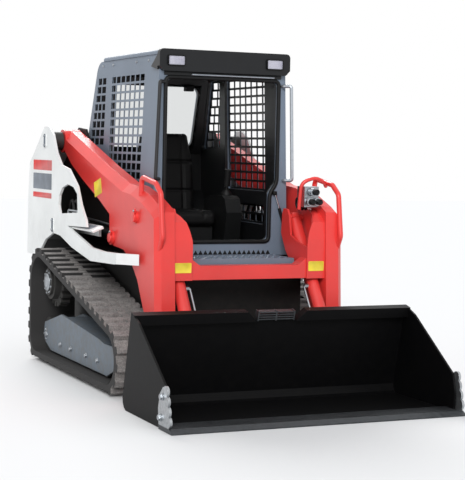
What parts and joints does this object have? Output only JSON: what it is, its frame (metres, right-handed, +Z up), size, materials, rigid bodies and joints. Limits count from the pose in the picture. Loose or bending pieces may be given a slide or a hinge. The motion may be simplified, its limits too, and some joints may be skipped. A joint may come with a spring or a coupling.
{
  "type": "compact track loader",
  "caption": "Compact track loader with rubber tracks, an open-front canopy cab, radial lift arms and a wide bucket resting on the ground.",
  "frame": {"origin": "on the ground, at the middle of the machine's width and length", "axes": "+Z up, -Y towards the bucket, +X towards the machine's left side"},
  "size_m": [1.8, 3.38, 2.092],
  "materials": {
    "red_paint": "gloss",
    "white_paint": "gloss",
    "grey_paint": "satin",
    "black_paint": "satin",
    "track_rubber": "matte",
    "cast_parts": "satin",
    "chrome_rod": "polished",
    "bright_steel": "satin",
    "worn_steel": "satin",
    "rail_steel": "satin",
    "black_plastic": "matte",
    "seat_vinyl": "satin",
    "window_glass": "clear",
    "lamp_lens": "gloss",
    "red_lens": "gloss"
  },
  "bodies": {
    "chassis": {"track_left": "track_rubber", "track_right": "track_rubber", "track_frames": "grey_paint", "rollers": "cast_parts", "idlers": "cast_parts", "sprockets": "cast_parts", "main_frame": "black_paint", "tower_skins": "white_paint", "tower_webs": "black_paint", "tower_backs": "white_paint", "track_shelves": "black_paint", "tower_pins": "cast_parts", "engine_block": "cast_parts", "rear_bumper": "black_paint", "tail_lamps": "red_lens", "cab_sides": "grey_paint", "cab_front": "grey_paint", "cab_rear": "grey_paint", "cab_roof": "grey_paint", "cab_visor": "black_paint", "work_lamps": "lamp_lens", "side_screens": "grey_paint", "rear_window": "window_glass", "cab_floor": "black_paint", "seat_base": "black_plastic", "seat_cushion": "seat_vinyl", "seat_backrest": "seat_vinyl", "consoles": "black_plastic", "joysticks": "black_plastic", "grab_rails": "rail_steel", "front_step": "grey_paint"},
    "lift_arms": {"arm_left": "red_paint", "arm_right": "red_paint", "cross_member": "red_paint", "aux_couplers": "bright_steel"},
    "bucket": {"bucket_shell": "black_paint", "bucket_step": "black_paint", "cutting_edge": "worn_steel", "side_cutters": "bright_steel", "coupler": "black_paint"},
    "lift_barrels": {"lift_barrels": "black_paint"},
    "lift_rods": {"lift_rods": "chrome_rod"},
    "tilt_barrels": {"tilt_barrels": "red_paint"},
    "tilt_rods": {"tilt_rods": "chrome_rod"},
    "engine_hood": {"engine_hood": "grey_paint"},
    "rear_door": {"rear_door": "black_paint"}
  },
  "joints": [
    {"name": "lift", "type": "hinge", "parent": "chassis", "child": "lift_arms", "pos_m": [0, 1.165, 1.515], "axis": [-1, 0, 0], "range_deg": [0, 72]},
    {"name": "tilt", "type": "hinge", "parent": "lift_arms", "child": "bucket", "pos_m": [0, -0.83, 0.16], "axis": [1, 0, 0], "range_deg": [-25, 110]},
    {"name": "lift_barrel_swing", "type": "hinge", "parent": "chassis", "child": "lift_barrels", "pos_m": [0, 0.96, 0.94], "axis": [-1, 0, 0], "range_deg": [0, 65.61]},
    {"name": "lift_rod_slide", "type": "slide", "parent": "lift_barrels", "child": "lift_rods", "axis": [0, -0.9993, -0.0375], "range_m": [0, 0.70545]},
    {"name": "tilt_barrel_swing", "type": "hinge", "parent": "lift_arms", "child": "tilt_barrels", "pos_m": [0, -0.35, 1.06], "axis": [1, 0, 0], "range_deg": [-0.37, 1.62]},
    {"name": "tilt_rod_slide", "type": "slide", "parent": "tilt_barrels", "child": "tilt_rods", "axis": [0, -0.5752, -0.818], "range_m": [-0.07046, 0.31005]},
    {"name": "hood", "type": "hinge", "parent": "chassis", "child": "engine_hood", "pos_m": [0, 1.21, 1.327], "axis": [1, 0, 0], "range_deg": [0, 55]},
    {"name": "door", "type": "hinge", "parent": "chassis", "child": "rear_door", "pos_m": [0.464, 1.652, 0.93], "axis": [0, 0, -1], "range_deg": [0, 105]}
  ],
  "couplings": [
    {"joint": "lift_barrel_swing", "follows": "lift", "ratio": 0.91131},
    {"joint": "lift_rod_slide", "follows": "lift", "m_per_rad": 0.56138},
    {"joint": "tilt_barrel_swing", "follows": "tilt", "ratio": 0.014752},
    {"joint": "tilt_rod_slide", "follows": "tilt", "m_per_rad": 0.16149}
  ]
}
